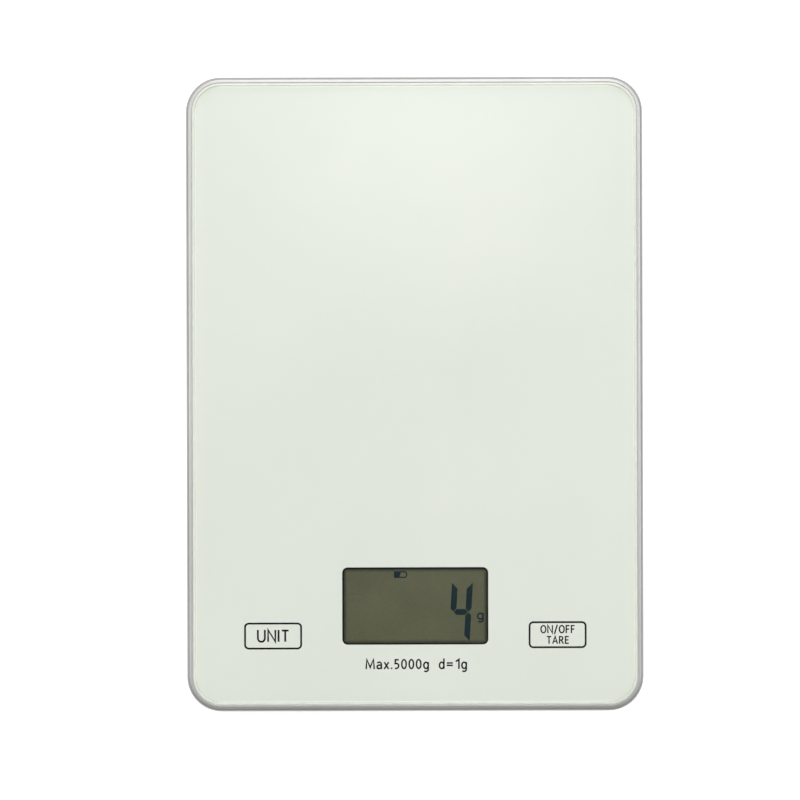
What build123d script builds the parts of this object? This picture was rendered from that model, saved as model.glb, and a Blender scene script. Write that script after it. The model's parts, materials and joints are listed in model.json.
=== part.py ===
from build123d import *
import os

# A slim digital kitchen scale: a tempered glass platform on a shallow tray, weighed by four load-cell feet.
# +Z is up, +X to the user's right and +Y away from the user. The origin is on the table under the middle of
# the scale, and the display and the two touch keys are at the -Y end. All lengths are millimetres.

os.makedirs("parts", exist_ok=True)

# driving dimensions
scale_width = 144.0
scale_length = 200.0
scale_height = 16.0
corner_radius = 11.0
rim_width = 2.15  # silver rim seen outside the glass
glass_thickness = 4.0
glass_gap = 0.15  # between the glass and the rim
glass_proud = 0.7  # how far the glass stands above the rim
glass_edge_round = 0.5
print_thickness = 0.08
print_gap = 0.02  # keeps the paint and the ink a hair below the glass
ink_thickness = 0.03
tape_thickness = 0.5
ground_clearance = 2.5  # the feet hold the tray this far off the table
floor_thickness = 1.8

window_center = (0.0, -66.9)
window_size = (45.0, 23.3)
window_radius = 1.2
window_border = 0.55  # printed line round the display window
key_centers = {"unit": (-44.9, -76.3), "power": (44.9, -76.1)}
key_size = (18.3, 8.5)
key_radius = 1.5
key_line = 0.6

rib_height = 3.0
rib_middles = {  # size in plan of each kind of floor rib, and where its middles are
    (1.4, 78.0): [(-20, 48), (20, 48)],
    (68.0, 1.4): [(0, 12), (0, 34), (0, 60), (0, 84)],
    (1.4, 118.0): [(-45, 0), (45, 0)],
    (20.0, 1.4): [(-54.5, 30), (54.5, 30), (-54.5, -20), (54.5, -20)],
}
pillar_spots = [(0, 34), (0, 60), (-45, 30), (45, 30), (-45, -20), (45, -20)]
pillar_span = 8.0  # arm of each cross-shaped pillar under the glass
pillar_web = 1.6
pad_spot_radius = 5.0  # foam spots between the pillars and the glass
label_size = (62.0, 36.0)
label_y = 42.0
label_recess = 0.25

foot_x, foot_y = 50.0, 78.0
feet = {
    "front_left": (-foot_x, -foot_y, 0),
    "front_right": (foot_x, -foot_y, 180),
    "rear_left": (-foot_x, foot_y, 0),
    "rear_right": (foot_x, foot_y, 180),
}
foot_radius = 10.0
foot_clearance = 0.4
flange_radius = 11.2
pad_radius = 8.5
pad_thickness = 1.8
cell_thickness = 1.0
overload_gap = 0.6  # between a foot's flange and the steel plate above it

battery_y = -12.0
cell_diameter = 20.0
cell_height = 3.2
door_width = 28.0
door_thickness = 1.5
door_clearance = 0.25

board_size = (62.0, 50.0)
board_stand = 1.9  # the posts' height over the floor
board_center = (0.0, -62.0)
board_thickness = 1.2
wire_radius = 0.4
wire_pitch = 1.3
long_wire_x = 29.6  # the rear feet's wires run to the front at this distance from the middle
hook_rows = (12.0, 34.0)

# levels worked out from them
glass_under = scale_height - glass_thickness
print_top = glass_under - print_gap
print_under = print_top - print_thickness
ledge_top = print_under - tape_thickness
rim_top = scale_height - glass_proud
floor_under = ground_clearance
floor_top = floor_under + floor_thickness

half_width = scale_width / 2
half_length = scale_length / 2
glass_width = scale_width - 2 * rim_width
glass_length = scale_length - 2 * rim_width
glass_radius = corner_radius - rim_width

flange_under = floor_top + 0.2
flange_top = flange_under + 1.5
cell_under = flange_top + overload_gap
cell_top = cell_under + cell_thickness
retainer_thickness = 1.2
retainer_top = cell_top + retainer_thickness
wire_level = cell_top + 0.5
hook_under = wire_level + 0.7

board_under = floor_top + board_stand
board_top = board_under + board_thickness


def save(piece, name):
    """Labels a finished piece and writes its STEP file."""
    piece.label = name
    export_step(piece, f"parts/{name}.step")


def wire_along(points, bends, radius):
    """A round wire that follows straight runs joined by arcs, one bend radius for each corner."""
    with BuildPart() as wire:
        with BuildLine() as route:
            FilletPolyline(*points, radius=bends)
        with BuildSketch(Plane(origin=route.line @ 0, z_dir=route.line % 0)):
            Circle(radius)
        sweep(path=route.line)
    return wire.part


def pan_screw(length):
    """A self-tapping pan-head screw: its head stands on z = 0, with the shank below and a cross recess."""
    head_radius, head_height, shank_radius = 2.0, 1.3, 0.9
    with BuildPart() as screw:
        with BuildSketch():
            Circle(head_radius)
        extrude(amount=head_height)
        fillet(screw.edges().sort_by(Axis.Z)[-1], 0.6)
        with BuildSketch():
            Circle(shank_radius)
        extrude(amount=-length)
        chamfer(screw.edges().sort_by(Axis.Z)[0], 0.4)
        with BuildSketch(Plane.XY.offset(head_height)):
            Rectangle(2.2, 0.5)
            Rectangle(0.5, 2.2)
        extrude(amount=-0.7, mode=Mode.SUBTRACT)
    return screw.part


# glass platform and what is printed under it
with BuildPart() as glass_platform:
    with BuildSketch(Plane.XY.offset(glass_under)):
        RectangleRounded(glass_width, glass_length, glass_radius)
    extrude(amount=glass_thickness)
    glass_rims = glass_platform.edges().group_by(Axis.Z)
    fillet(glass_rims[0] + glass_rims[-1], glass_edge_round)
save(glass_platform.part, "glass_platform")

with BuildPart() as printed_legend:
    with BuildSketch(Plane.XY.offset(print_top)):
        with Locations(window_center):
            RectangleRounded(
                window_size[0] + 2 * window_border,
                window_size[1] + 2 * window_border,
                window_radius + window_border,
            )
            RectangleRounded(*window_size, window_radius, mode=Mode.SUBTRACT)
        with Locations(*key_centers.values()):
            RectangleRounded(*key_size, key_radius)
            RectangleRounded(
                key_size[0] - 2 * key_line,
                key_size[1] - 2 * key_line,
                key_radius - key_line,
                mode=Mode.SUBTRACT,
            )
    extrude(amount=-ink_thickness)
save(printed_legend.part, "printed_legend")

print_margin = 0.6  # the paint stops short of the rounded glass edge
with BuildPart() as back_print:
    with BuildSketch(Plane.XY.offset(print_top)):
        RectangleRounded(
            glass_width - 2 * print_margin,
            glass_length - 2 * print_margin,
            glass_radius - print_margin,
        )
        with Locations(window_center):
            RectangleRounded(*window_size, window_radius, mode=Mode.SUBTRACT)
    extrude(amount=-print_thickness)
    add(printed_legend.part, mode=Mode.SUBTRACT)
save(back_print.part, "back_print")

# base tray: distances in from the widest outline of the scale
rim_inset = rim_width - glass_gap  # inner face of the rim
ledge_inset = rim_inset + 4.8  # inner edge of the ledge that the glass is taped to
cavity_inset = ledge_inset + 0.4  # cavity wall at the floor, with a little draft
tub_inset = 5.4  # foot of the tray's outer wall
seam_inset = cavity_inset + 2.0  # where the swept wall hands over to the flat floor

# the wall's section as (distance in from the outline, height, corner radius)
wall_corners = [
    (seam_inset, floor_under, 0),
    (tub_inset, floor_under, 2.0),
    (tub_inset - 1.2, floor_top + 4.6, 2.0),
    (0.9, floor_top + 5.9, 0),
    (0, floor_top + 6.9, 0.9),
    (0, rim_top - 0.15, 1.3),
    (rim_inset, rim_top, 0.25),
    (rim_inset, ledge_top, 0),
    (ledge_inset, ledge_top, 0),
    (cavity_inset, floor_top, 1.0),
    (seam_inset, floor_top, 0),
]

door_end_hinge = 13.5  # from the battery's centre, to the rear
door_end_latch = 14.6  # and to the front
hinge_y = battery_y + door_end_hinge - 0.9
hinge_z = floor_under + 0.9
peg_radius = 0.6
peg_reach = 1.3
bay_half = 12.5
bay_front, bay_rear = battery_y - 16.3, battery_y + 13.9
bay_wall = 1.3
bay_roof_under = floor_top + 4.1
bay_roof_top = bay_roof_under + 1.2
bay_pad_top = floor_top + 1.2
cell_well_radius = cell_diameter / 2 + 0.3

frame_screw_x = 28.6
rear_screw = (28.0, -40.0)
board_bosses = [
    (-frame_screw_x, window_center[1]),
    (frame_screw_x, window_center[1]),
    (-rear_screw[0], rear_screw[1]),
    rear_screw,
]
retainer_screws_local = [(15.5, -9.0), (15.5, 9.0)]
pins_local = [(-10.6, 9.5), (-10.6, -9.5), (11.0, 9.5), (11.0, -9.5)]


def at_foot(x, y, turn):
    """Where a piece of a foot's assembly goes: local +X points to the middle of the scale."""
    return Location((x, y, 0), (0, 0, turn))


# what each load cell needs from the tray, drawn once round a foot's own centre
with BuildPart() as cell_seat:
    with BuildSketch(Plane.XY.offset(floor_top)):
        with Locations((-10.8, 9.9), (-10.8, -9.9), (11.1, 9.9), (11.1, -9.9)):
            Rectangle(2.8, 2.6)
    extrude(amount=cell_under - floor_top)
    with BuildSketch(Plane.XY.offset(floor_top)):
        with Locations(*retainer_screws_local):
            Circle(2.3)
    extrude(amount=cell_top - floor_top)
    with BuildSketch(Plane.XY.offset(floor_top)):
        with Locations((0, 12.3), (0, -12.3)):
            Rectangle(10, 1.0)
    extrude(amount=retainer_top - 0.3 - floor_top)
    with BuildSketch(Plane.XY.offset(floor_top)):
        with Locations(*pins_local):
            Circle(0.65)
    extrude(amount=cell_top - 0.1 - floor_top)
    with BuildSketch(Plane.XY.offset(retainer_top + 0.1)):
        with Locations((-14.2, 0)):
            Rectangle(2.8, 6)
    extrude(amount=1.3)

with BuildPart() as base_tray:
    # wall, rim and ledge in one section, swept round one half and mirrored
    with BuildLine() as outline:
        FilletPolyline(
            (0, -half_length),
            (half_width, -half_length),
            (half_width, half_length),
            (0, half_length),
            radius=corner_radius,
        )
    section_plane = Plane(origin=(0, -half_length, 0), x_dir=(0, 1, 0), z_dir=(1, 0, 0))
    with BuildSketch(section_plane) as wall_section:
        with BuildLine():
            Polyline(*[(inset, height) for inset, height, _ in wall_corners], close=True)
        make_face()
        for inset, height, radius in wall_corners:
            if radius:
                fillet(wall_section.vertices().sort_by_distance((inset, height, 0))[0], radius)
    sweep(path=outline.line)
    mirror(about=Plane.YZ)
    with BuildSketch(Plane.XY.offset(floor_under)):
        RectangleRounded(scale_width - 2 * seam_inset + 2, scale_length - 2 * seam_inset + 2, 3.0)
    extrude(amount=floor_thickness)

    # collars round the foot holes
    with BuildSketch(Plane.XY.offset(floor_under)):
        with Locations(*[(x, y) for x, y, _ in feet.values()]):
            Circle(13.0)
    extrude(amount=-0.4, taper=25)
    with BuildSketch(Plane.XY.offset(floor_under - 1)):
        with Locations(*[(x, y) for x, y, _ in feet.values()]):
            Circle(foot_radius + foot_clearance)
    extrude(amount=floor_thickness + 2, mode=Mode.SUBTRACT)

    # stiffening ribs, and the pillars that hold the middle of the glass
    with BuildSketch(Plane.XY.offset(floor_top)):
        for rib_size, middles in rib_middles.items():
            with Locations(*middles):
                Rectangle(*rib_size)
    extrude(amount=rib_height)
    with BuildSketch(Plane.XY.offset(floor_top)):
        with Locations(*pillar_spots):
            Rectangle(pillar_span, pillar_web)
            Rectangle(pillar_web, pillar_span)
    extrude(amount=ledge_top - floor_top)

    # hooks that hold the long wires down on the ribs: a post beside the wires and a finger over them
    with BuildSketch(Plane.XY.offset(floor_top)):
        with Locations(*[(side * (long_wire_x + 3.0), y) for side in (-1, 1) for y in hook_rows]):
            Rectangle(1.4, 4)
    extrude(amount=hook_under + 0.2 - floor_top)
    with BuildSketch(Plane.XY.offset(hook_under)):
        with Locations(*[(side * (long_wire_x + 1.3), y) for side in (-1, 1) for y in hook_rows]):
            Rectangle(4.8, 4)
    extrude(amount=0.9)

    # circuit board posts
    with BuildSketch(Plane.XY.offset(floor_top)):
        with Locations(*board_bosses):
            Circle(2.4)
        with Locations((-27, -84.5), (27, -84.5)):
            Circle(1.8)
    extrude(amount=board_under - floor_top)

    # battery bay: a pad that carries the door's ledge, then the box and the well for the cell
    with BuildSketch(Plane.XY.offset(floor_top)):
        with Locations((0, battery_y - 0.8)):
            RectangleRounded(33.0, 33.6, 2.0)
    extrude(amount=bay_pad_top - floor_top)
    with BuildSketch(Plane.XY.offset(floor_top)):
        with Locations((0, (bay_front + bay_rear) / 2)):
            RectangleRounded(2 * (bay_half + bay_wall), bay_rear - bay_front + 2 * bay_wall, 1.8)
    extrude(amount=bay_roof_top - floor_top)
    with BuildSketch(Plane.XY.offset(floor_top)):
        with Locations((0, (bay_front + bay_rear) / 2)):
            RectangleRounded(2 * bay_half, bay_rear - bay_front, 1.0)
    extrude(amount=bay_roof_under - floor_top, mode=Mode.SUBTRACT)
    with BuildSketch(Plane.XY.offset(floor_top + 0.3)):
        with Locations((0, battery_y)):
            Circle(cell_well_radius + 1.2)
            Circle(cell_well_radius, mode=Mode.SUBTRACT)
        with Locations((-cell_well_radius, battery_y)):
            Rectangle(6, 6.4, mode=Mode.SUBTRACT)
    extrude(amount=bay_roof_under - floor_top - 0.3)

    # door recess, its through opening and the sockets for the hinge pegs
    recess_front = battery_y - door_end_latch - door_clearance
    recess_rear = battery_y + door_end_hinge + door_clearance
    recess_middle = (recess_front + recess_rear) / 2
    with BuildSketch(Plane.XY.offset(floor_under)):
        with Locations((0, recess_middle)):
            Rectangle(door_width + 2 * door_clearance, recess_rear - recess_front)
    extrude(amount=door_thickness + 0.1, mode=Mode.SUBTRACT)
    with BuildSketch(Plane.XY.offset(floor_under)):
        with Locations((0, recess_middle)):
            Rectangle(2 * bay_half, recess_rear - recess_front)
    extrude(amount=floor_thickness, mode=Mode.SUBTRACT)
    with BuildSketch(Plane.XY.offset(floor_under)):
        with Locations((0, recess_rear - 1.5)):
            Rectangle(door_width + 2 * door_clearance, 3.0)
    extrude(amount=floor_thickness + 0.2, mode=Mode.SUBTRACT)
    with BuildSketch(Plane.YZ.offset(-door_width / 2 - peg_reach - 0.3)):
        with Locations((hinge_y, hinge_z)):
            Circle(peg_radius + 0.05)
    extrude(amount=door_width + 2 * peg_reach + 0.6, mode=Mode.SUBTRACT)
    # scoop for a fingernail at the latch
    with BuildSketch(Plane.XY.offset(floor_under)):
        with Locations((0, recess_front)):
            SlotOverall(16, 7)
    extrude(amount=0.7, mode=Mode.SUBTRACT)

    # slots in the bay's roof for the two contacts
    with BuildSketch(Plane.XY.offset(bay_roof_under)):
        with Locations((9.2, battery_y), (-11.3, battery_y)):
            Rectangle(0.6, 4.6)
    extrude(amount=2.0, mode=Mode.SUBTRACT)

    # seats for the load cells, and the pilot holes of their screws and the board's
    for x, y, turn in feet.values():
        add(cell_seat.part.moved(at_foot(x, y, turn)))
    for x, y, turn in feet.values():
        with BuildSketch(Plane.XY.offset(cell_top)):
            with Locations(at_foot(x, y, turn)):
                with Locations(*retainer_screws_local):
                    Circle(0.9)
        extrude(amount=-(cell_top - floor_top - 0.2), mode=Mode.SUBTRACT)
    with BuildSketch(Plane.XY.offset(board_under)):
        with Locations(*board_bosses):
            Circle(0.9)
    extrude(amount=-2.4, mode=Mode.SUBTRACT)

    # shallow field for the rating label
    with BuildSketch(Plane.XY.offset(floor_under)):
        with Locations((0, label_y)):
            RectangleRounded(*label_size, 2.5)
    extrude(amount=label_recess, mode=Mode.SUBTRACT)
save(base_tray.part, "base_tray")

with BuildPart() as rating_label:
    with BuildSketch(Plane.XY.offset(floor_under + label_recess)):
        with Locations((0, label_y)):
            RectangleRounded(label_size[0] - 0.8, label_size[1] - 0.8, 2.1)
    extrude(amount=-0.15)
save(rating_label.part, "rating_label")

# tape and foam between the tray and the glass
with BuildPart() as glass_tape:
    with BuildSketch(Plane.XY.offset(ledge_top)):
        RectangleRounded(glass_width - 1.4, glass_length - 1.4, glass_radius - 0.7)
        RectangleRounded(
            scale_width - 2 * ledge_inset + 0.6,
            scale_length - 2 * ledge_inset + 0.6,
            4.6,
            mode=Mode.SUBTRACT,
        )
    extrude(amount=tape_thickness)
save(glass_tape.part, "glass_tape")

with BuildPart() as support_pads:
    with BuildSketch(Plane.XY.offset(ledge_top)):
        with Locations(*pillar_spots):
            Circle(pad_spot_radius)
    extrude(amount=tape_thickness)
save(support_pads.part, "support_pads")

# feet and load cells, drawn once round a foot's own centre
with BuildPart() as foot_cup:
    with BuildSketch(Plane.XZ):
        with BuildLine():
            Polyline(
                (0, pad_thickness),
                (pad_radius + 0.1, pad_thickness),
                (pad_radius + 0.1, 1.0),
                (foot_radius - 0.5, 1.0),
                (foot_radius, 1.5),
                (foot_radius, flange_under),
                (flange_radius, flange_under),
                (flange_radius, flange_top),
                (3.0, flange_top),
                (3.0, cell_under),
                (2.0, cell_under),
                (2.0, cell_top + 0.1),
                (2.6, cell_top + 0.1),
                (2.0, cell_top + 1.1),
                (0, cell_top + 1.1),
                close=True,
            )
        make_face()
    revolve(axis=Axis.Z)
    # the cup is cored from above to an even wall, with six webs left standing
    with BuildSketch(Plane.XY.offset(flange_top)):
        Circle(foot_radius - 1.6)
        Circle(4.4, mode=Mode.SUBTRACT)
        with PolarLocations(0, 6):
            Rectangle(2 * foot_radius, 1.2, mode=Mode.SUBTRACT)
    extrude(amount=-(flange_top - pad_thickness - 1.2), mode=Mode.SUBTRACT)

with BuildPart() as foot_pad:
    with BuildSketch():
        Circle(pad_radius)
    extrude(amount=pad_thickness)
    fillet(foot_pad.edges().group_by(Axis.Z)[0], 0.4)
    with BuildSketch():
        for groove_radius in (3.6, 5.6):
            Circle(groove_radius + 0.7)
            Circle(groove_radius, mode=Mode.SUBTRACT)
    extrude(amount=0.35, mode=Mode.SUBTRACT)

beam_half = 4.0
with BuildPart() as load_cell:
    with BuildSketch(Plane.XY.offset(cell_under)):
        with Locations((0.5, 0)):
            RectangleRounded(25, 22, 1.5)
            Rectangle(17, 16, mode=Mode.SUBTRACT)
        with Locations((3.0, 0)):
            Rectangle(12.2, 2 * beam_half)
        with Locations((-3.0, 0)):
            Ellipse(2.4, beam_half)
        Circle(2.1, mode=Mode.SUBTRACT)
        with Locations((5.8, beam_half), (5.8, -beam_half)):
            SlotOverall(4.4, 1.6, mode=Mode.SUBTRACT)
        with Locations(*pins_local):
            Circle(0.75, mode=Mode.SUBTRACT)
    extrude(amount=cell_thickness)

gauge_end = 8.0
with BuildPart() as strain_gauge:
    with BuildSketch(Plane.XY.offset(cell_top)):
        with Locations((gauge_end - 2.4, 0)):
            RectangleRounded(4.8, 5.2, 0.8)
    extrude(amount=0.95)
    fillet(strain_gauge.edges().group_by(Axis.Z)[-1], 0.35)

with BuildPart() as cell_retainer:
    with BuildSketch(Plane.XY.offset(cell_top)):
        with Locations((2.0, 0)):
            RectangleRounded(32, 23, 2.4)
        with Locations((6.5, 0)):
            Rectangle(28, 13, mode=Mode.SUBTRACT)
        with Locations(*retainer_screws_local):
            Circle(1.2, mode=Mode.SUBTRACT)
    extrude(amount=retainer_thickness)
    chamfer(cell_retainer.edges().group_by(Axis.Z)[-1].filter_by(GeomType.LINE), 0.25)

for corner, (x, y, turn) in feet.items():
    place = at_foot(x, y, turn)
    save(foot_cup.part.moved(place), f"foot_cup_{corner}")
    save(foot_pad.part.moved(place), f"foot_pad_{corner}")
    save(load_cell.part.moved(place), f"load_cell_{corner}")
    save(strain_gauge.part.moved(place), f"strain_gauge_{corner}")
    save(cell_retainer.part.moved(place), f"cell_retainer_{corner}")

retainer_screw = pan_screw(retainer_top - floor_top - 0.3)
with BuildPart() as retainer_screws:
    for x, y, turn in feet.values():
        for u, v in retainer_screws_local:
            spot = at_foot(x, y, turn) * Location((u, v, retainer_top))
            add(retainer_screw.moved(spot))
save(retainer_screws.part, "retainer_screws")

# battery door, latch, coin cell and contacts
latch_width = 8.0
door_top = floor_under + door_thickness
with BuildPart() as battery_door:
    with BuildSketch(Plane.XY.offset(floor_under)):
        with Locations((0, battery_y + (door_end_hinge - door_end_latch) / 2)):
            Rectangle(door_width, door_end_hinge + door_end_latch)
        with Locations((0, battery_y - door_end_latch)):
            Rectangle(latch_width + 0.8, 2 * (door_end_latch - 12.6), mode=Mode.SUBTRACT)
    extrude(amount=door_thickness)
    front_corners = battery_door.edges().filter_by(Axis.Z).group_by(Axis.Y)[0]
    fillet(front_corners, 0.6)
    # the hinge end is rounded about the pegs so that it turns inside its recess
    with BuildSketch(Plane.YZ.offset(-door_width / 2)):
        with Locations((hinge_y + 1.0, hinge_z)):
            Rectangle(2.0, 4.0)
        with Locations((hinge_y, hinge_z)):
            Circle(0.9, mode=Mode.SUBTRACT)
    extrude(amount=door_width, mode=Mode.SUBTRACT)
    with BuildSketch(Plane.YZ.offset(-door_width / 2 - peg_reach)):
        with Locations((hinge_y, hinge_z)):
            Circle(peg_radius)
    extrude(amount=door_width + 2 * peg_reach)
    # ring that steadies the cell, and the arrow and ribs a thumb finds on the outside
    with BuildSketch(Plane.XY.offset(door_top)):
        with Locations((0, battery_y)):
            Circle(7.5)
            Circle(6.5, mode=Mode.SUBTRACT)
    extrude(amount=0.3)
    with BuildSketch(Plane.XY.offset(floor_under)):
        with Locations((0, battery_y - 4.5)):
            Triangle(a=5.0, b=4.0, c=4.0, rotation=180)
        with Locations((0, battery_y + 2), (0, battery_y + 4), (0, battery_y + 6)):
            SlotOverall(14, 0.9)
    extrude(amount=0.3, mode=Mode.SUBTRACT)
save(battery_door.part, "battery_door")

latch_inner = battery_y - 12.6
with BuildPart() as battery_door_latch:
    with BuildSketch(Plane.YZ.offset(-latch_width / 2)):
        with BuildLine():
            Polyline(
                (latch_inner, floor_under),
                (latch_inner, floor_top + 2.2),
                (latch_inner - 0.3, floor_top + 2.7),
                (latch_inner - 1.7, floor_top + 2.7),
                (latch_inner - 2.0, floor_top + 2.2),
                (latch_inner - 2.0, floor_top + 0.9),
                (latch_inner - 2.9, floor_top + 0.1),
                (latch_inner - 2.0, floor_top + 0.1),
                (latch_inner - 2.0, floor_under),
                (latch_inner - 1.3, floor_under),
                (latch_inner - 1.3, floor_top + 1.9),
                (latch_inner - 0.7, floor_top + 1.9),
                (latch_inner - 0.7, floor_under),
                close=True,
            )
        make_face()
    extrude(amount=latch_width)
save(battery_door_latch.part, "battery_door_latch")

cell_low = floor_top + 0.1
cell_high = cell_low + cell_height
with BuildPart() as coin_cell:
    with BuildSketch(Plane.XZ.offset(-battery_y)):
        with BuildLine():
            Polyline(
                (0, cell_low),
                (cell_diameter / 2 - 0.3, cell_low),
                (cell_diameter / 2, cell_low + 0.3),
                (cell_diameter / 2, cell_high - 0.6),
                (cell_diameter / 2 - 0.4, cell_high - 0.3),
                (cell_diameter / 2 - 0.9, cell_high - 0.3),
                (cell_diameter / 2 - 0.9, cell_high - 0.5),
                (cell_diameter / 2 - 1.4, cell_high - 0.5),
                (cell_diameter / 2 - 1.4, cell_high - 0.1),
                (cell_diameter / 2 - 1.6, cell_high),
                (0, cell_high),
                close=True,
            )
        make_face()
    revolve(axis=Axis((0, battery_y, 0), (0, 0, 1)))
save(coin_cell.part, "coin_cell")

strip = 0.25  # thickness of the sprung contact strips
with BuildPart() as battery_contact_negative:
    with BuildSketch(Plane.XZ.offset(-(battery_y + 2.0))):
        with BuildLine():
            Polyline(
                (5.0, bay_roof_top),
                (9.05, bay_roof_top),
                (9.05, bay_roof_under - 0.35),
                (1.2, cell_high + 0.02),
                (0.2, cell_high + 0.02),
                (-2.6, bay_roof_under - 0.3),
                (-2.6, bay_roof_under - 0.3 + strip),
                (0.3, cell_high + 0.02 + strip),
                (1.1, cell_high + 0.02 + strip),
                (9.3, bay_roof_under - 0.35 + strip),
                (9.3, bay_roof_top + strip),
                (5.0, bay_roof_top + strip),
                close=True,
            )
        make_face()
    extrude(amount=4.0)
save(battery_contact_negative.part, "battery_contact_negative")

side_gap = cell_diameter / 2 + 0.02
with BuildPart() as battery_contact_positive:
    with BuildSketch(Plane.XZ.offset(-(battery_y + 2.0))):
        with BuildLine():
            Polyline(
                (-6.5, bay_roof_top),
                (-11.15, bay_roof_top),
                (-11.15, bay_roof_under - 0.2),
                (-side_gap, cell_low + 1.9),
                (-side_gap, cell_low + 1.3),
                (-11.3, cell_low + 0.6),
                (-11.3 - strip, cell_low + 0.6),
                (-side_gap - strip, cell_low + 1.2),
                (-side_gap - strip, cell_low + 2.0),
                (-11.15 - strip, bay_roof_under - 0.2),
                (-11.15 - strip, bay_roof_top + strip),
                (-6.5, bay_roof_top + strip),
                close=True,
            )
        make_face()
    extrude(amount=4.0)
save(battery_contact_positive.part, "battery_contact_positive")

# circuit board and display
with BuildPart() as circuit_board:
    with BuildSketch(Plane.XY.offset(board_under)):
        with Locations(board_center):
            RectangleRounded(*board_size, 1.2)
        with Locations(*board_bosses):
            Circle(1.2, mode=Mode.SUBTRACT)
    extrude(amount=board_thickness)
save(circuit_board.part, "circuit_board")

blob_center = (0.0, -44.4)
with BuildPart() as processor_blob:
    with BuildSketch(Plane.XY.offset(board_top)):
        with Locations(blob_center):
            Circle(4.6)
    extrude(amount=1.7)
    fillet(processor_blob.edges().group_by(Axis.Z)[-1], 1.6)
save(processor_blob.part, "processor_blob")

chip_spots = [(-13, -46), (-13, -43), (-16.5, -46), (-16.5, -43), (-25, -47)]
chip_spots += [(12, -43), (15, -43), (18, -43), (21, -47)]
with BuildPart() as chip_components:
    with BuildSketch(Plane.XY.offset(board_top)):
        with Locations(*chip_spots):
            Rectangle(2.0, 1.2)
    extrude(amount=0.7)
    with BuildSketch(Plane.XY.offset(board_top)):
        with Locations((25, -46.5)):
            Rectangle(3.2, 2.6)
    extrude(amount=1.3)
save(chip_components.part, "chip_components")

with BuildPart() as clock_crystal:
    with BuildSketch(Plane.YZ.offset(10.5)):
        with Locations((-47.2, board_top + 1.0)):
            Circle(1.0)
    extrude(amount=6.0)
    fillet(clock_crystal.edges().group_by(Axis.X)[-1], 0.3)
save(clock_crystal.part, "clock_crystal")

lcd_glass_thickness = 1.1
film_thickness = 0.2
lcd_width = 50.0
lcd_rear_edge = window_center[1] + 14.5
lcd_front_edge = lcd_rear_edge - 31.0
contact_ledge = 3.5
film_bottom = board_top + 1.2
rear_glass_under = film_bottom + film_thickness
front_glass_under = rear_glass_under + lcd_glass_thickness
front_glass_top = front_glass_under + lcd_glass_thickness
lcd_top = front_glass_top + film_thickness
frame_top = lcd_top + 0.3

with BuildPart() as lcd_rear_polarizer:
    with BuildSketch(Plane.XY.offset(film_bottom)):
        with Locations((0, window_center[1] + 0.5)):
            Rectangle(49, 26.5)
    extrude(amount=film_thickness)
save(lcd_rear_polarizer.part, "lcd_rear_polarizer")

with BuildPart() as lcd_rear_glass:
    with BuildSketch(Plane.XY.offset(rear_glass_under)):
        with Locations((0, (lcd_rear_edge + lcd_front_edge + contact_ledge) / 2)):
            Rectangle(lcd_width, lcd_rear_edge - lcd_front_edge - contact_ledge)
    extrude(amount=lcd_glass_thickness)
save(lcd_rear_glass.part, "lcd_rear_glass")

with BuildPart() as lcd_front_glass:
    with BuildSketch(Plane.XY.offset(front_glass_under)):
        with Locations((0, (lcd_rear_edge + lcd_front_edge) / 2)):
            Rectangle(lcd_width, lcd_rear_edge - lcd_front_edge)
    extrude(amount=lcd_glass_thickness)
save(lcd_front_glass.part, "lcd_front_glass")

with BuildPart() as lcd_front_polarizer:
    with BuildSketch(Plane.XY.offset(front_glass_top)):
        with Locations((0, window_center[1] + 0.5)):
            Rectangle(49, 26.5)
    extrude(amount=film_thickness)
save(lcd_front_polarizer.part, "lcd_front_polarizer")

frame_center = (0.0, (lcd_rear_edge + lcd_front_edge) / 2)
frame_inner = (lcd_width + 0.4, lcd_rear_edge - lcd_front_edge + 0.4)
frame_wall = 1.2
lip_opening = (47.4, 25.4)
with BuildPart() as lcd_frame:
    with BuildSketch(Plane.XY.offset(board_top)):
        with Locations(frame_center):
            RectangleRounded(frame_inner[0] + 2 * frame_wall, frame_inner[1] + 2 * frame_wall, 1.2)
    extrude(amount=frame_top - board_top)
    with BuildSketch(Plane.XY.offset(board_top)):
        with Locations((-frame_screw_x, window_center[1]), (frame_screw_x, window_center[1])):
            Circle(2.3)
        with Locations((0, window_center[1])):
            Rectangle(2 * frame_screw_x, 4.6)
    extrude(amount=1.6)
    with BuildSketch(Plane.XY.offset(board_top)):
        with Locations(frame_center):
            Rectangle(*frame_inner)
    extrude(amount=lcd_top - board_top, mode=Mode.SUBTRACT)
    with BuildSketch(Plane.XY.offset(lcd_top)):
        with Locations(window_center):
            RectangleRounded(*lip_opening, 0.8)
    extrude(amount=frame_top - lcd_top, mode=Mode.SUBTRACT)
    with BuildSketch(Plane.XY.offset(board_top)):
        with Locations((-frame_screw_x, window_center[1]), (frame_screw_x, window_center[1])):
            Circle(1.2)
    extrude(amount=1.6, mode=Mode.SUBTRACT)
save(lcd_frame.part, "lcd_frame")

with BuildPart() as lcd_gasket:
    with BuildSketch(Plane.XY.offset(frame_top)):
        with Locations(frame_center):
            RectangleRounded(52.4, 33.4, 1.0)
        with Locations(window_center):
            RectangleRounded(*lip_opening, 0.8, mode=Mode.SUBTRACT)
    extrude(amount=print_under - frame_top)
save(lcd_gasket.part, "lcd_gasket")

with BuildPart() as zebra_connector:
    with BuildSketch(Plane.XY.offset(board_top)):
        with Locations((0, lcd_front_edge + 1.7)):
            Rectangle(48, 2.2)
    extrude(amount=front_glass_under - board_top)
save(zebra_connector.part, "zebra_connector")

with BuildPart() as lcd_support_foam:
    with BuildSketch(Plane.XY.offset(board_top)):
        with Locations((0, lcd_rear_edge - 2.2)):
            Rectangle(48, 3.0)
    extrude(amount=film_bottom - board_top)
save(lcd_support_foam.part, "lcd_support_foam")

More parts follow.
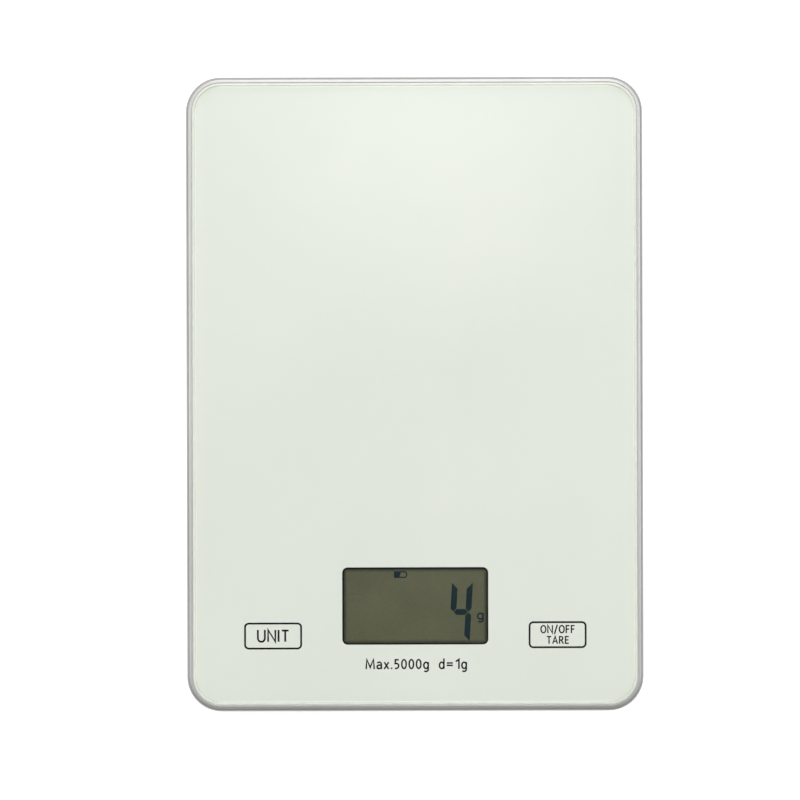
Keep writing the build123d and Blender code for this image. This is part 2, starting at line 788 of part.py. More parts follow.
frame_screw = pan_screw(board_top + 1.6 - floor_top - 0.1)
board_screw = pan_screw(board_top - floor_top - 0.1)
with BuildPart() as board_screws:
    for x, y in board_bosses[:2]:
        add(frame_screw.moved(Location((x, y, board_top + 1.6))))
    for x, y in board_bosses[2:]:
        add(board_screw.moved(Location((x, y, board_top))))
save(board_screws.part, "board_screws")

# copper touch pads under the two keys
electrode_thickness = 0.3
for key, (x, y) in key_centers.items():
    with BuildPart() as touch_electrode:
        with BuildSketch(Plane.XY.offset(print_under)):
            with Locations((x, y)):
                RectangleRounded(17.4, 7.6, 1.0)
        extrude(amount=-electrode_thickness)
    save(touch_electrode.part, f"touch_electrode_{key}")

# wiring: every cell's three wires, the battery's leads and the touch pads' leads
wire_start = foot_x - gauge_end  # distance of the strain gauge's inner face from the middle
solder_spots = []
for corner, (x, y, _) in feet.items():
    side = -1 if x < 0 else 1
    with BuildPart() as cell_wires:
        for lane in (-1, 0, 1):
            shift = lane * wire_pitch
            if y > 0:
                run_x, end_x = long_wire_x - shift, 22.0 - shift
                points = [
                    (side * wire_start, y + shift),
                    (side * run_x, y + shift),
                    (side * run_x, -26.0 + 0.414 * shift),
                    (side * end_x, -33.6 + 0.414 * shift),
                    (side * end_x, -39.6),
                ]
                bends = [6.0 + shift, 5.0 - shift, 3.5 + shift]
            else:
                points = [
                    (side * wire_start, y + shift),
                    (side * 37.0, y + shift),
                    (side * 34.0, y + 1.5 + shift),
                    (side * long_wire_x, y + 1.5 + shift),
                ]
                bends = [3.0, 3.0]
            add(wire_along([(px, py, wire_level) for px, py in points], bends, wire_radius))
            solder_spots.append((points[-1][0], points[-1][1], board_top))
    save(cell_wires.part, f"cell_wires_{corner}")

lead_level = bay_roof_top + strip + 0.52
for name, lead_x in (("red", -7.6), ("black", 7.6)):
    lead = wire_along(
        [
            (lead_x, battery_y - 0.6, lead_level),
            (lead_x, -30.0, lead_level),
            (lead_x, -35.0, wire_level),
            (lead_x, -39.6, wire_level),
        ],
        [4.0, 3.0],
        0.5,
    )
    save(lead, f"battery_lead_{name}")
    solder_spots.append((lead_x, -39.6, board_top))
    solder_spots.append((lead_x, battery_y - 0.6, bay_roof_top + strip))

touch_level = print_under - electrode_thickness - 0.45
for key, (x, y) in key_centers.items():
    side = -1 if x < 0 else 1
    lead = wire_along(
        [
            (side * 38.6, y + 2.5, touch_level),
            (side * 29.4, y + 2.9, touch_level),
            (side * 29.4, y + 2.9, board_top + 0.3),
        ],
        [1.6],
        0.35,
    )
    save(lead, f"touch_lead_{key}")
    solder_spots.append((side * 29.4, y + 2.9, board_top))

with BuildPart() as solder_joints:
    for x, y, z in solder_spots:
        with BuildSketch(Plane.XY.offset(z)):
            with Locations((x, y)):
                Circle(0.62)
        extrude(amount=0.95, taper=12)
    for key, (x, y) in key_centers.items():
        side = -1 if x < 0 else 1
        with BuildSketch(Plane.XY.offset(print_under - electrode_thickness)):
            with Locations((side * 38.6, y + 2.5)):
                Circle(0.7)
        extrude(amount=-0.9, taper=12)
save(solder_joints.part, "solder_joints")
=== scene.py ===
import json
import math

import bpy
import numpy as np
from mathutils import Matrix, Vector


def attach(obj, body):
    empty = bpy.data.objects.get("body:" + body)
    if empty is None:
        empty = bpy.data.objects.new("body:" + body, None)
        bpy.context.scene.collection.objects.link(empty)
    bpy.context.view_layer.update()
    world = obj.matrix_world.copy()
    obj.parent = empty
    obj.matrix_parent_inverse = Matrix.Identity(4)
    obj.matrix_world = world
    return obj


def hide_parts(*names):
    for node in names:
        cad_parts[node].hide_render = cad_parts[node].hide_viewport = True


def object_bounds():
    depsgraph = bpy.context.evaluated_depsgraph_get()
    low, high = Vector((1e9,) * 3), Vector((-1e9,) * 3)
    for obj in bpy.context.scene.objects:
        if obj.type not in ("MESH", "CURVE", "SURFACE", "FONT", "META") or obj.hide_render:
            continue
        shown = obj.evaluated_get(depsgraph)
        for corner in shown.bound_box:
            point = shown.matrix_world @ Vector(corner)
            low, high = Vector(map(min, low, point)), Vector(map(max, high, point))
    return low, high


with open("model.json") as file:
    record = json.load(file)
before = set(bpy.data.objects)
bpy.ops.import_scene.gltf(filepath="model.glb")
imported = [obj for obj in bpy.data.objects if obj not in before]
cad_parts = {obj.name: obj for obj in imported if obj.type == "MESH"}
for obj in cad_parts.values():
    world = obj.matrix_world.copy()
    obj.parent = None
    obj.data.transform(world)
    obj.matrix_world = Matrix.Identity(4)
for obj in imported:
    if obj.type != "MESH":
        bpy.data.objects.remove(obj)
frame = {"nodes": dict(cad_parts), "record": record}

for startupName in ("Cube", "Light", "Camera"):
    if startupName in bpy.data.objects:
        bpy.data.objects.remove(bpy.data.objects[startupName])
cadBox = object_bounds()
nodes = frame["nodes"]
mm = 0.001
print("frame loaded:", len(nodes), "nodes")


def hexToLinear(code):
    channels = np.array([int(code[i:i + 2], 16) for i in (1, 3, 5)]) / 255
    linear = np.where(channels <= 0.04045, channels / 12.92, ((channels + 0.055) / 1.055) ** 2.4)
    return (*linear.tolist(), 1.0)


def newMaterial(name):
    material = bpy.data.materials.new(name)
    material.use_nodes = True
    material.node_tree.nodes.clear()
    return material, material.node_tree


def addNode(tree, kind, settings=None, inputs=None):
    # settings are the node's own properties; an input is a value or a socket of another node
    node = tree.nodes.new(kind)
    for key, value in (settings or {}).items():
        setattr(node, key, value)
    for key, value in (inputs or {}).items():
        if isinstance(value, bpy.types.NodeSocket):
            tree.links.new(value, node.inputs[key])
        else:
            node.inputs[key].default_value = value
    return node


def addRamp(tree, factor, stops):
    # stops: (position, hex colour) from low to high
    ramp = addNode(tree, "ShaderNodeValToRGB", inputs={"Fac": factor})
    while len(ramp.color_ramp.elements) < len(stops):
        ramp.color_ramp.elements.new(1.0)
    for element, (position, code) in zip(ramp.color_ramp.elements, stops):
        element.position = position
        element.color = hexToLinear(code)
    return ramp.outputs["Color"]


def objectPlace(tree):
    return addNode(tree, "ShaderNodeTexCoord").outputs["Object"]


def addNoise(tree, sizeMm, detail=3.0, stretch=(1, 1, 1)):
    # one blotch of this noise is about sizeMm across; stretch above 1 draws it out along an axis
    squeeze = [1 / s for s in stretch]
    place = addNode(tree, "ShaderNodeMapping", inputs={"Vector": objectPlace(tree), "Scale": squeeze})
    noise = addNode(tree, "ShaderNodeTexNoise", inputs={
        "Vector": place.outputs["Vector"], "Scale": 1 / (sizeMm * mm * 2), "Detail": detail})
    return noise.outputs["Fac"]


def toRange(tree, value, low, high, fromLow=0.35, fromHigh=0.65):
    mapped = addNode(tree, "ShaderNodeMapRange", inputs={
        "Value": value, "From Min": fromLow, "From Max": fromHigh, "To Min": low, "To Max": high})
    return mapped.outputs["Result"]


def bumpFrom(tree, height, depthMm):
    bump = addNode(tree, "ShaderNodeBump", inputs={"Height": height, "Distance": depthMm * mm})
    return bump.outputs["Normal"]


def edgeDistance(tree, middle, half, shares=(1.0, 1.0), roundMm=0.0):
    # distance inwards from the nearest side of a rectangle, in metres; a share under 1 makes its two sides
    # count less
    place = addNode(tree, "ShaderNodeSeparateXYZ", inputs={"Vector": objectPlace(tree)})
    gaps = []
    for axis in range(2):
        shifted = addNode(tree, "ShaderNodeMath", {"operation": "SUBTRACT"}, {
            0: place.outputs[axis], 1: middle[axis] * mm})
        away = addNode(tree, "ShaderNodeMath", {"operation": "ABSOLUTE"}, {0: shifted.outputs["Value"]})
        gap = addNode(tree, "ShaderNodeMath", {"operation": "SUBTRACT"},
                      {0: half[axis] * mm, 1: away.outputs["Value"]})
        widened = addNode(tree, "ShaderNodeMath", {"operation": "DIVIDE"},
                          {0: gap.outputs["Value"], 1: shares[axis]})
        gaps.append(widened.outputs["Value"])
    nearest = addNode(tree, "ShaderNodeMath", {"operation": "SMOOTH_MIN"},
                      {0: gaps[0], 1: gaps[1], 2: roundMm * mm})
    return nearest.outputs["Value"]


def closeSurface(tree, shader):
    output = addNode(tree, "ShaderNodeOutputMaterial")
    tree.links.new(shader, output.inputs["Surface"])


def plainFinish(name, colours, roughness, metallic=0.0, grainMm=0.5, grainDepthMm=0.004, blotchMm=9.0,
                stretch=(1, 1, 1), ior=1.5):
    # two close colours in soft blotches, a fine grain in bump, and roughness that wanders a little
    material, tree = newMaterial(name)
    blotch = addNoise(tree, blotchMm, 4.0, stretch)
    grain = addNoise(tree, grainMm, 2.0, stretch)
    inputs = {
        "Base Color": addRamp(tree, blotch, [(0.35, colours[0]), (0.65, colours[1])]),
        "Roughness": toRange(tree, grain, roughness[0], roughness[1]),
        "Normal": bumpFrom(tree, grain, grainDepthMm),
        "Metallic": metallic,
    }
    if metallic < 1.0:
        inputs["IOR"] = ior
    shader = addNode(tree, "ShaderNodeBsdfPrincipled", inputs=inputs)
    closeSurface(tree, shader.outputs["BSDF"])
    return material


def passLamps(tree, shader, colour, scattered=True, share=None):
    # the shader for every ray that is seen, and clear for the rays that carry light to what lies behind;
    # with a share, only where that is 1
    clear = addNode(tree, "ShaderNodeBsdfTransparent", inputs={"Color": colour})
    path = addNode(tree, "ShaderNodeLightPath")
    passes = path.outputs["Is Shadow Ray"]
    if scattered:
        passes = addNode(tree, "ShaderNodeMath", {"operation": "MAXIMUM"}, {
            0: passes, 1: path.outputs["Is Diffuse Ray"]}).outputs["Value"]
    if share:
        passes = addNode(tree, "ShaderNodeMath", {"operation": "MULTIPLY"},
                         {0: passes, 1: share}).outputs["Value"]
    mix = addNode(tree, "ShaderNodeMixShader", inputs={0: passes, 1: shader, 2: clear.outputs["BSDF"]})
    closeSurface(tree, mix.outputs["Shader"])


glassLook = {"tint": "#fdfefd", "roughness": 0.012, "ior": 1.52}


def makeTemperedGlass():
    # tempered soda-lime glass: sharp reflections and a faint green; lamps pass straight through to the
    # print
    material, tree = newMaterial("temperedGlass")
    tint = hexToLinear(glassLook["tint"])
    glass = addNode(tree, "ShaderNodeBsdfPrincipled", inputs={
        "Base Color": tint, "Roughness": glassLook["roughness"], "IOR": glassLook["ior"],
        "Transmission Weight": 1.0})
    passLamps(tree, glass.outputs["BSDF"], tint)
    return material


def makeGroundEdge():
    # the plate's ground and half-polished edge: a milky pale line that still lets light into the glass
    material, tree = newMaterial("groundGlassEdge")
    grain = addNoise(tree, 0.5, 3.0, stretch=(3, 3, 1))
    edge = addNode(tree, "ShaderNodeBsdfPrincipled", inputs={
        "Base Color": addRamp(tree, grain, [(0.3, "#dce1d6"), (0.7, "#e9ece2")]),
        "Roughness": toRange(tree, grain, 0.3, 0.42), "IOR": glassLook["ior"],
        "Normal": bumpFrom(tree, grain, 0.01)})
    passLamps(tree, edge.outputs["BSDF"], hexToLinear("#f4f8f2"))
    return material


enamelLook = {
    # the edge colour is painted light: the near-white that the bands below lift the print to
    "pale": "#eaede5", "paler": "#eef0e9", "edge": "#fcfcf5",
    "wideLightMm": 5.0, "wideLightShare": 0.45,  # painted light: a faint lighter band along the two long sides
    "narrowLightMm": 1.5,
    # and a stronger band of painted light all round, standing in for light that the ground edge scatters
    # back into the glass where the rim would shade the print
    "scattered": 0.22,  # how strongly that narrow band glows by emission, painted light
    "halfWidthMm": 69.85, "halfLengthMm": 97.85, "cornerMm": 6,
    "cloudMm": 26.0, "roughness": (0.42, 0.55),
    "ior": 1.15,  # fused to the glass, it has hardly any shine of its own
}


def makeFiredEnamel():
    # enamel screened on the back of the glass and fired: an even pale grey-green, with painted light in
    # bands near the glass's edge, where it also glows by emission
    material, tree = newMaterial("firedEnamel")
    half = (enamelLook["halfWidthMm"], enamelLook["halfLengthMm"])
    lightBands = []
    for reach, share, shares in ((enamelLook["wideLightMm"], enamelLook["wideLightShare"], (1.0, 0.2)),
                                 (enamelLook["narrowLightMm"], 1.0, (1.0, 1.0))):
        nearest = edgeDistance(tree, (0, 0), half, shares, roundMm=enamelLook["cornerMm"])
        band = addNode(tree, "ShaderNodeMapRange", {"interpolation_type": "SMOOTHSTEP"}, {
            "Value": nearest, "From Min": 0.0, "From Max": reach * mm, "To Min": share, "To Max": 0.0})
        lightBands.append(band.outputs["Result"])
    paintedLight = addNode(tree, "ShaderNodeMath", {"operation": "MAXIMUM"}, {0: lightBands[0], 1: lightBands[1]})
    cloud = addNoise(tree, enamelLook["cloudMm"], 3.0)
    body = addRamp(tree, cloud, [(0.3, enamelLook["pale"]), (0.7, enamelLook["paler"])])
    # painted light: within the bands the colour is lifted towards the near-white edge colour
    colour = addNode(tree, "ShaderNodeMix", {"data_type": "RGBA"}, {
        0: paintedLight.outputs["Value"], 6: body, 7: hexToLinear(enamelLook["edge"])})
    speck = addNoise(tree, 0.5, 2.0)
    shader = addNode(tree, "ShaderNodeBsdfPrincipled", inputs={
        "Base Color": colour.outputs[2], "Roughness": toRange(tree, speck, *enamelLook["roughness"]),
        "IOR": enamelLook["ior"],
        # painted light: the narrow band near the edge glows, though the print is no lamp
        "Emission Color": hexToLinear(enamelLook["edge"]),
        "Emission Strength": toRange(tree, lightBands[1], 0.0, enamelLook["scattered"])})
    closeSurface(tree, shader.outputs["BSDF"])
    return material


silverLook = {
    "shade": "#adadab", "light": "#b4b4b2", "metallic": 0.65, "roughness": (0.34, 0.37),
    "flakeMm": 0.35,  # real flakes are about 0.05 mm; drawn coarser so that they show
    "cloudMm": 14.0, "grainMm": 0.3, "grainDepthMm": 0.02,
    "rimFromMm": 10.4,  # above this height the tray is the smooth rim, below it is spark-eroded
    "fadeMm": 1.2, "duller": 0.14,  # the change between them, and how much rougher the lower part is
    "lipFromMm": 12.0,  # the part of the rim that stands beside the glass
}


def makeSprayedSilver():
    # injection-moulded ABS under a thin silver spray: soft metallic sheen on the rim, and a fine
    # spark-eroded grain with less gloss on everything below it
    material, tree = newMaterial("sprayedSilverAbs")
    flake = addNoise(tree, silverLook["flakeMm"], 1.0)
    cloud = addNoise(tree, silverLook["cloudMm"], 3.0)
    part = addNode(tree, "ShaderNodeMath", {"operation": "MULTIPLY_ADD"}, {0: flake, 1: 0.3, 2: 0.0})
    mixed = addNode(tree, "ShaderNodeMath", {"operation": "MULTIPLY_ADD"},
                    {0: cloud, 1: 0.7, 2: part.outputs["Value"]})
    colour = addRamp(tree, mixed.outputs["Value"],
                     [(0.36, silverLook["shade"]), (0.62, silverLook["light"])])
    place = addNode(tree, "ShaderNodeSeparateXYZ", inputs={"Vector": objectPlace(tree)})
    below = addNode(tree, "ShaderNodeMapRange", inputs={
        "Value": place.outputs["Z"], "From Min": silverLook["rimFromMm"] * mm,
        "From Max": (silverLook["rimFromMm"] - silverLook["fadeMm"]) * mm, "To Min": 0.0, "To Max": 1.0})
    grain = addNoise(tree, silverLook["grainMm"], 3.0)
    depth = addNode(tree, "ShaderNodeMath", {"operation": "MULTIPLY"},
                    {0: grain, 1: below.outputs["Result"]})
    roughness = addNode(tree, "ShaderNodeMath", {"operation": "MULTIPLY_ADD"}, {
        0: below.outputs["Result"], 1: silverLook["duller"],
        2: toRange(tree, flake, *silverLook["roughness"])})
    shader = addNode(tree, "ShaderNodeBsdfPrincipled", inputs={
        "Base Color": colour, "Metallic": silverLook["metallic"], "Roughness": roughness.outputs["Value"],
        "IOR": 1.5,
        "Normal": bumpFrom(tree, depth.outputs["Value"], silverLook["grainDepthMm"])})
    # light reaches the print through the lip, which would otherwise draw a dark border round it
    lip = addNode(tree, "ShaderNodeMath", {"operation": "GREATER_THAN"}, {
        0: place.outputs["Z"], 1: silverLook["lipFromMm"] * mm})
    passLamps(tree, shader.outputs["BSDF"], (1, 1, 1, 1), share=lip.outputs["Value"])
    return material


rubberLook = {"dark": "#4b4d50", "light": "#5a5c5f", "dust": "#8b8c8c"}


def makeFootRubber():
    # moulded TPE rubber: dull, faintly dusty, rougher where it has rubbed on the worktop
    material, tree = newMaterial("mouldedRubber")
    cloud = addNoise(tree, 3.0, 4.0)
    grain = addNoise(tree, 0.3, 2.0)
    body = addRamp(tree, cloud, [(0.35, rubberLook["dark"]), (0.65, rubberLook["light"])])
    place = addNode(tree, "ShaderNodeSeparateXYZ", inputs={"Vector": objectPlace(tree)})
    worn = addNode(tree, "ShaderNodeMapRange", inputs={
        "Value": place.outputs["Z"], "From Min": 0.0, "From Max": 0.5 * mm, "To Min": 0.35, "To Max": 0.0})
    dusty = addNode(tree, "ShaderNodeMath", {"operation": "MULTIPLY"},
                    {0: worn.outputs["Result"], 1: cloud})
    colour = addNode(tree, "ShaderNodeMix", {"data_type": "RGBA"}, {
        0: dusty.outputs["Value"], 6: body, 7: hexToLinear(rubberLook["dust"])})
    shader = addNode(tree, "ShaderNodeBsdfPrincipled", inputs={
        "Base Color": colour.outputs[2], "Roughness": toRange(tree, grain, 0.72, 0.85), "IOR": 1.5,
        "Normal": bumpFrom(tree, grain, 0.02)})
    closeSurface(tree, shader.outputs["BSDF"])
    return material


filmLook = {
    "shade": "#54553f", "light": "#5c5d46", "grainMm": 0.35,
    "windowShadeDepth": 0.45, "windowShadeMm": 1.1,  # painted shade: a darker border just inside the window, standing for the shade its edge throws on the film
    "window": {"middle": (0.0, -66.9), "half": (22.5, 11.65)},
}


def makePolarisingFilm():
    # grey-olive polarising film with an anti-glare front: dim, slightly grainy, a soft sheen, with painted
    # shade along the window's edge
    material, tree = newMaterial("polarisingFilm")
    grain = addNoise(tree, filmLook["grainMm"], 2.0)
    cloud = addNoise(tree, 8.0, 3.0)
    part = addNode(tree, "ShaderNodeMath", {"operation": "MULTIPLY_ADD"}, {0: grain, 1: 0.5, 2: 0.0})
    mixed = addNode(tree, "ShaderNodeMath", {"operation": "MULTIPLY_ADD"},
                    {0: cloud, 1: 0.5, 2: part.outputs["Value"]})
    body = addRamp(tree, mixed.outputs["Value"], [(0.38, filmLook["shade"]), (0.62, filmLook["light"])])
    window = filmLook["window"]
    nearest = edgeDistance(tree, window["middle"], window["half"])
    # painted shade: the film is darkened within about a millimetre of the window's edge
    windowShade = addNode(tree, "ShaderNodeMapRange", {"interpolation_type": "SMOOTHSTEP"}, {
        "Value": nearest, "From Min": 0.0, "From Max": filmLook["windowShadeMm"] * mm,
        "To Min": filmLook["windowShadeDepth"], "To Max": 1.0})
    colour = addNode(tree, "ShaderNodeVectorMath", {"operation": "SCALE"},
                     {0: body, "Scale": windowShade.outputs["Result"]})
    shader = addNode(tree, "ShaderNodeBsdfPrincipled", inputs={
        "Base Color": colour.outputs["Vector"], "Roughness": toRange(tree, grain, 0.38, 0.48), "IOR": 1.3})
    closeSurface(tree, shader.outputs["BSDF"])
    return material


def makeBoardLaminate():
    # glass-fibre board under green solder mask: copper tracks show through as lighter green lines
    material, tree = newMaterial("solderMaskBoard")
    place = addNode(tree, "ShaderNodeMapping", inputs={
        "Vector": objectPlace(tree), "Scale": (1 / (9 * mm), 1 / (9 * mm), 0.0)})
    tracks = addNode(tree, "ShaderNodeTexBrick", inputs={
        "Vector": place.outputs["Vector"], "Scale": 1.0, "Mortar Size": 0.03, "Brick Width": 0.9,
        "Row Height": 0.22,
        "Color1": hexToLinear("#1d5a34"), "Color2": hexToLinear("#215f38"),
        "Mortar": hexToLinear("#3c8350")})
    shader = addNode(tree, "ShaderNodeBsdfPrincipled", inputs={
        "Base Color": tracks.outputs["Color"], "Roughness": toRange(tree, addNoise(tree, 1.0), 0.3, 0.42),
        "IOR": 1.5,
        "Normal": bumpFrom(tree, tracks.outputs["Fac"], -0.03)})
    closeSurface(tree, shader.outputs["BSDF"])
    return material


def makeZebraRubber():
    # silicone strip of conducting and insulating layers: dark stripes across its length, 0.4 mm apart
    material, tree = newMaterial("zebraSilicone")
    place = addNode(tree, "ShaderNodeSeparateXYZ", inputs={"Vector": objectPlace(tree)})
    wave = addNode(tree, "ShaderNodeMath", {"operation": "PINGPONG"}, {0: place.outputs["X"], 1: 0.2 * mm})
    scaled = addNode(tree, "ShaderNodeMath", {"operation": "DIVIDE"},
                     {0: wave.outputs["Value"], 1: 0.2 * mm})
    shader = addNode(tree, "ShaderNodeBsdfPrincipled", inputs={
        "Base Color": addRamp(tree, scaled.outputs["Value"], [(0.45, "#d8a79b"), (0.55, "#2a2624")]),
        "Roughness": 0.7, "IOR": 1.41})
    closeSurface(tree, shader.outputs["BSDF"])
    return material


temperedGlass = makeTemperedGlass()
groundGlassEdge = makeGroundEdge()
firedEnamel = makeFiredEnamel()
sprayedSilver = makeSprayedSilver()
mouldedRubber = makeFootRubber()
polarisingFilm = makePolarisingFilm()
slateInk = plainFinish("slateScreenInk", ("#111518", "#171b1f"), (0.5, 0.6), grainMm=0.3,
                       grainDepthMm=0.002, ior=1.15)
segmentInk = plainFinish("liquidCrystalSegment", ("#14262b", "#182b31"), (0.55, 0.65), grainMm=0.35,
                         grainDepthMm=0.001, blotchMm=2.5, ior=1.15)
acetalGrey = plainFinish("mouldedAcetal", ("#9b9c9e", "#a3a4a6"), (0.42, 0.55), grainMm=0.6,
                         grainDepthMm=0.008)
labelFilm = plainFinish("silverPolyesterLabel", ("#a8abae", "#b4b7b9"), (0.34, 0.46), metallic=0.35,
                        grainMm=0.5, grainDepthMm=0.003, stretch=(6, 1, 1))


def makeSealSilicone():
    # cured silicone: milky and half clear, so that light reaches the print through it
    material, tree = newMaterial("edgeSealSilicone")
    cloud = addNoise(tree, 9.0, 3.0)
    shader = addNode(tree, "ShaderNodeBsdfPrincipled", inputs={
        "Base Color": addRamp(tree, cloud, [(0.35, "#e6e7e3"), (0.65, "#ecede9")]),
        "Roughness": toRange(tree, addNoise(tree, 0.6, 2.0), 0.35, 0.45), "IOR": 1.41})
    passLamps(tree, shader.outputs["BSDF"], hexToLinear("#f2f3ef"))
    return material


sealSilicone = makeSealSilicone()
labelInk = plainFinish("labelPrintingInk", ("#33373a", "#3a3e41"), (0.45, 0.55), grainMm=0.3,
                       grainDepthMm=0.002)

foamTape = plainFinish("acrylicFoamTape", ("#d9d9d4", "#e2e2dd"), (0.8, 0.92), grainMm=0.4,
                       grainDepthMm=0.03)
springSteel = plainFinish("rolledSpringSteel", ("#8d8e90", "#a2a3a4"), (0.28, 0.42), metallic=1.0,
                          grainMm=0.3, stretch=(1, 12, 1))
siliconeWhite = plainFinish("pottedSilicone", ("#dcdcd6", "#e6e6e1"), (0.4, 0.5), grainMm=1.2,
                            grainDepthMm=0.03)
blackNylon = plainFinish("mouldedNylon", ("#1c1c1e", "#232326"), (0.42, 0.55), grainMm=0.5,
                         grainDepthMm=0.01)
zincScrew = plainFinish("zincPlatedSteel", ("#9fa1a3", "#b5b6b8"), (0.25, 0.36), metallic=1.0, blotchMm=1.5)
nickelCan = plainFinish("nickelPlatedCan", ("#b3b2ae", "#c4c3bf"), (0.16, 0.26), metallic=1.0, blotchMm=5.0)
springStrip = plainFinish("nickelSpringStrip", ("#aeaa9e", "#bcb8ac"), (0.22, 0.32), metallic=1.0,
                          blotchMm=1.5)
boardLaminate = makeBoardLaminate()
pottingResin = plainFinish("pottingEpoxy", ("#121213", "#1a1a1b"), (0.15, 0.3), grainMm=1.5,
                           grainDepthMm=0.03)
chipCeramic = plainFinish("chipCeramic", ("#6b5238", "#8a6f50"), (0.45, 0.6), blotchMm=1.6)
displayFrame = plainFinish("mouldedWhiteAbs", ("#dededb", "#e6e6e3"), (0.4, 0.5), grainMm=0.5,
                           grainDepthMm=0.008)
blackFoam = plainFinish("closedCellFoam", ("#161617", "#202021"), (0.85, 0.95), grainMm=0.3,
                        grainDepthMm=0.05)
zebraSilicone = makeZebraRubber()
copperFoil = plainFinish("copperFoil", ("#b4704a", "#c6805a"), (0.28, 0.4), metallic=1.0, blotchMm=3.0)
tinSolder = plainFinish("tinSolder", ("#a7a9ac", "#bdbfc2"), (0.18, 0.34), metallic=1.0, grainMm=0.4,
                        blotchMm=0.8)
wireRed = plainFinish("redPvcInsulation", ("#a3201c", "#b32a24"), (0.35, 0.45), grainMm=0.4, blotchMm=4.0)
wireBlack = plainFinish("blackPvcInsulation", ("#18181a", "#222224"), (0.35, 0.45), grainMm=0.4,
                        blotchMm=4.0)
wireWhite = plainFinish("whitePvcInsulation", ("#d5d5d0", "#e0e0dc"), (0.35, 0.45), grainMm=0.4,
                        blotchMm=4.0)


def makeDisplayGlass():
    # thin drawn soda-lime glass of the display cell: clear, lamps pass through
    material, tree = newMaterial("drawnDisplayGlass")
    tint = hexToLinear("#eef3ec")
    glass = addNode(tree, "ShaderNodeBsdfPrincipled", inputs={
        "Base Color": tint, "Roughness": 0.02, "IOR": glassLook["ior"], "Transmission Weight": 1.0})
    passLamps(tree, glass.outputs["BSDF"], tint, scattered=False)
    return material


displayGlass = makeDisplayGlass()
slotMaterials = {
    "glass": temperedGlass, "enamel": firedEnamel, "ink": slateInk, "tray_plastic": sprayedSilver,
    "foot_plastic": acetalGrey, "foot_rubber": mouldedRubber, "tape": foamTape, "label_paper": labelFilm,
    "cell_steel": springSteel, "gauge_resin": siliconeWhite, "retainer_plastic": blackNylon,
    "screw_steel": zincScrew, "coin_steel": nickelCan, "contact_metal": springStrip,
    "board_laminate": boardLaminate, "epoxy": pottingResin, "chip_ceramic": chipCeramic,
    "lcd_glass": displayGlass, "polarizer": polarisingFilm, "reflector": polarisingFilm,
    "frame_plastic": displayFrame, "foam": blackFoam, "zebra_rubber": zebraSilicone, "wire_mixed": wireRed,
    "wire_red": wireRed, "wire_black": wireBlack, "wire_white": wireWhite, "copper_pad": copperFoil,
    "solder": tinSolder,
}
for part in frame["record"]["subparts"]:
    node = nodes[part["node"]]
    finish = slotMaterials[part["material_slot"]]
    for materialSlot in node.material_slots:
        materialSlot.material = finish
    if not node.material_slots:
        node.data.materials.append(finish)


def looseIslands(mesh):
    # every vertex takes the lowest number among its neighbours, over and over, until each solid has one
    # number
    places = np.empty(len(mesh.vertices) * 3)
    mesh.vertices.foreach_get("co", places)
    _, merged = np.unique(np.round(places.reshape(-1, 3), 7), axis=0, return_inverse=True)
    mesh.calc_loop_triangles()
    corners = np.empty(len(mesh.loop_triangles) * 3, dtype=np.int32)
    mesh.loop_triangles.foreach_get("vertices", corners)
    owners = np.empty(len(mesh.loop_triangles), dtype=np.int32)
    mesh.loop_triangles.foreach_get("polygon_index", owners)
    triangles = merged.reshape(-1)[corners].reshape(-1, 3)
    label = np.arange(merged.max() + 1)
    while True:
        lowest = label[triangles].min(axis=1)
        spread = label.copy()
        for side in range(3):
            np.minimum.at(spread, triangles[:, side], lowest)
        spread = spread[spread]
        if (spread == label).all():
            break
        label = spread
    ofPolygon = np.zeros(len(mesh.polygons), dtype=np.int32)
    ofPolygon[owners] = label[triangles[:, 0]]
    return ofPolygon


# each load cell has a red, a white and a black wire, in the order they leave the gauge
for nodeName, node in nodes.items():
    if not nodeName.startswith("cell_wires_"):
        continue
    for colour in (wireWhite, wireBlack):
        node.data.materials.append(colour)
    ofPolygon = looseIslands(node.data)
    for index, island in enumerate(np.unique(ofPolygon)):
        members = np.flatnonzero(ofPolygon == island)
        for member in members.tolist():
            node.data.polygons[member].material_index = index % 3
print("materials on the frame:", len(slotMaterials))


def makePiece(name, points, faces, material, body="scale", replaced=(), flatFaces=()):
    # points in millimetres; the object stays at the origin
    mesh = bpy.data.meshes.new(name)
    mesh.from_pydata((np.asarray(points) * mm).tolist(), [], faces)
    mesh.validate()
    mesh.materials.append(material)
    mesh.polygons.foreach_set("use_smooth", [True] * len(mesh.polygons))
    for index in flatFaces:
        mesh.polygons[index].use_smooth = False
    piece = bpy.data.objects.new(name, mesh)
    bpy.context.scene.collection.objects.link(piece)
    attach(piece, body)
    if replaced:
        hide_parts(*replaced)
    return piece


def roundedRing(halfX, halfY, radius, steps):
    # a rectangle with round corners: each corner's centre plus radius times (cos, sin) of an angle that
    # goes once round
    turn = np.linspace(0, math.pi / 2, steps)[None, :] + np.arange(4)[:, None] * math.pi / 2
    side = np.array([[1, 1], [-1, 1], [-1, -1], [1, -1]])
    centre = side * [halfX - radius, halfY - radius]
    ring = centre[:, None, :] + radius * np.stack([np.cos(turn), np.sin(turn)], axis=-1)
    return ring.reshape(-1, 2)


